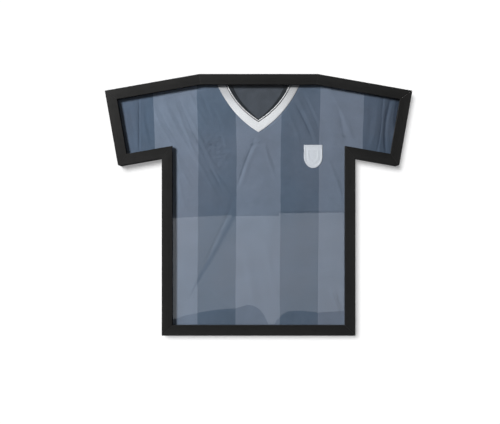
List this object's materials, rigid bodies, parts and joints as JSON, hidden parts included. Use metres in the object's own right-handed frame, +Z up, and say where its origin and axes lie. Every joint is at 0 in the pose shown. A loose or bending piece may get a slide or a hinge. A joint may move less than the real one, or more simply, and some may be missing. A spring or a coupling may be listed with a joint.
{
  "type": "jersey display frame",
  "caption": "Wall frame in the outline of a T-shirt that shows a striped V-neck jersey behind a clear window and opens from the back with turn buttons.",
  "frame": {"origin": "the middle of the box's underside: the bottom rail's lower face, midway between the front face and the bumpers' backs", "axes": "+X to the viewer's right, +Y from the front towards the wall, +Z up"},
  "size_m": [0.741, 0.0304, 0.6305],
  "materials": {
    "black_lacquer": "matte black lacquer over fibreboard rails",
    "clear_plastic": "clear shatterproof sheet",
    "jersey_knit": "slate blue striped polyester knit",
    "jersey_inside": "inside of the back panel",
    "collar_knit": "pale grey rib with dark piping",
    "emblem_silver": "silver heat-pressed film",
    "kraft_board": "brown kraft-faced board",
    "hardboard": "brown pressed fibreboard",
    "zinc_steel": "zinc plated",
    "black_rubber": "black rubber"
  },
  "bodies": {
    "frame": {"rail_side_right": "black_lacquer", "rail_underarm_right": "black_lacquer", "rail_cuff_right": "black_lacquer", "rail_shoulder_right": "black_lacquer", "rail_top": "black_lacquer", "rail_shoulder_left": "black_lacquer", "rail_cuff_left": "black_lacquer", "rail_underarm_left": "black_lacquer", "rail_side_left": "black_lacquer", "rail_bottom": "black_lacquer", "vnail_bottom_right": "zinc_steel", "vnail_armpit_right": "zinc_steel", "vnail_cuff_low_right": "zinc_steel", "vnail_cuff_high_right": "zinc_steel", "vnail_neck_right": "zinc_steel", "vnail_neck_left": "zinc_steel", "vnail_cuff_high_left": "zinc_steel", "vnail_cuff_low_left": "zinc_steel", "vnail_armpit_left": "zinc_steel", "vnail_bottom_left": "zinc_steel", "window": "clear_plastic", "button_screw_side_right_low": "zinc_steel", "button_screw_side_right_high": "zinc_steel", "button_screw_cuff_right": "zinc_steel", "button_screw_shoulder_right": "zinc_steel", "button_screw_shoulder_left": "zinc_steel", "button_screw_cuff_left": "zinc_steel", "button_screw_side_left_high": "zinc_steel", "button_screw_side_left_low": "zinc_steel", "button_screw_bottom_left": "zinc_steel", "button_screw_bottom_right": "zinc_steel", "hanger_left": "zinc_steel", "hanger_right": "zinc_steel", "hanger_pin_left_inner": "zinc_steel", "hanger_pin_left_outer": "zinc_steel", "hanger_pin_right_inner": "zinc_steel", "hanger_pin_right_outer": "zinc_steel", "bumper_left": "black_rubber", "bumper_right": "black_rubber"},
    "insert": {"form_board": "kraft_board", "jersey_front": "jersey_knit", "jersey_back": "jersey_inside", "jersey_collar": "collar_knit", "jersey_badge": "emblem_silver", "jersey_sleeve_fold_left": "jersey_knit", "jersey_sleeve_fold_right": "jersey_knit", "jersey_side_fold_left": "jersey_knit", "jersey_side_fold_right": "jersey_knit", "jersey_hem_fold": "jersey_knit"},
    "backing": {"backing_board": "hardboard"},
    "button_side_right_low": {"turn_button_side_right_low": "zinc_steel"},
    "button_side_right_high": {"turn_button_side_right_high": "zinc_steel"},
    "button_cuff_right": {"turn_button_cuff_right": "zinc_steel"},
    "button_shoulder_right": {"turn_button_shoulder_right": "zinc_steel"},
    "button_shoulder_left": {"turn_button_shoulder_left": "zinc_steel"},
    "button_cuff_left": {"turn_button_cuff_left": "zinc_steel"},
    "button_side_left_high": {"turn_button_side_left_high": "zinc_steel"},
    "button_side_left_low": {"turn_button_side_left_low": "zinc_steel"},
    "button_bottom_left": {"turn_button_bottom_left": "zinc_steel"},
    "button_bottom_right": {"turn_button_bottom_right": "zinc_steel"}
  },
  "joints": [
    {"name": "turn_side_right_low", "type": "hinge", "parent": "frame", "child": "button_side_right_low", "pos_m": [0.2221, 0.0112, 0.1036], "axis": [0, -1, 0], "range_deg": [0, 90]},
    {"name": "turn_side_right_high", "type": "hinge", "parent": "frame", "child": "button_side_right_high", "pos_m": [0.2221, 0.0112, 0.3236], "axis": [0, -1, 0], "range_deg": [0, 90]},
    {"name": "turn_cuff_right", "type": "hinge", "parent": "frame", "child": "button_cuff_right", "pos_m": [0.34345, 0.0112, 0.50145], "axis": [0, -1, 0], "range_deg": [0, 90]},
    {"name": "turn_shoulder_right", "type": "hinge", "parent": "frame", "child": "button_shoulder_right", "pos_m": [0.25471, 0.0112, 0.5994], "axis": [0, -1, 0], "range_deg": [0, 90]},
    {"name": "turn_shoulder_left", "type": "hinge", "parent": "frame", "child": "button_shoulder_left", "pos_m": [-0.25471, 0.0112, 0.5994], "axis": [0, -1, 0], "range_deg": [0, 90]},
    {"name": "turn_cuff_left", "type": "hinge", "parent": "frame", "child": "button_cuff_left", "pos_m": [-0.34345, 0.0112, 0.50145], "axis": [0, -1, 0], "range_deg": [0, 90]},
    {"name": "turn_side_left_high", "type": "hinge", "parent": "frame", "child": "button_side_left_high", "pos_m": [-0.2221, 0.0112, 0.3236], "axis": [0, -1, 0], "range_deg": [0, 90]},
    {"name": "turn_side_left_low", "type": "hinge", "parent": "frame", "child": "button_side_left_low", "pos_m": [-0.2221, 0.0112, 0.1036], "axis": [0, -1, 0], "range_deg": [0, 90]},
    {"name": "turn_bottom_left", "type": "hinge", "parent": "frame", "child": "button_bottom_left", "pos_m": [-0.12, 0.0112, 0.0112], "axis": [0, -1, 0], "range_deg": [0, 90]},
    {"name": "turn_bottom_right", "type": "hinge", "parent": "frame", "child": "button_bottom_right", "pos_m": [0.12, 0.0112, 0.0112], "axis": [0, -1, 0], "range_deg": [0, 90]},
    {"name": "insert_lift", "type": "slide", "parent": "frame", "child": "insert", "axis": [0, 1, 0], "range_m": [0, 0.1]},
    {"name": "backing_lift", "type": "slide", "parent": "insert", "child": "backing", "axis": [0, 1, 0], "range_m": [0, 0.1]}
  ]
}
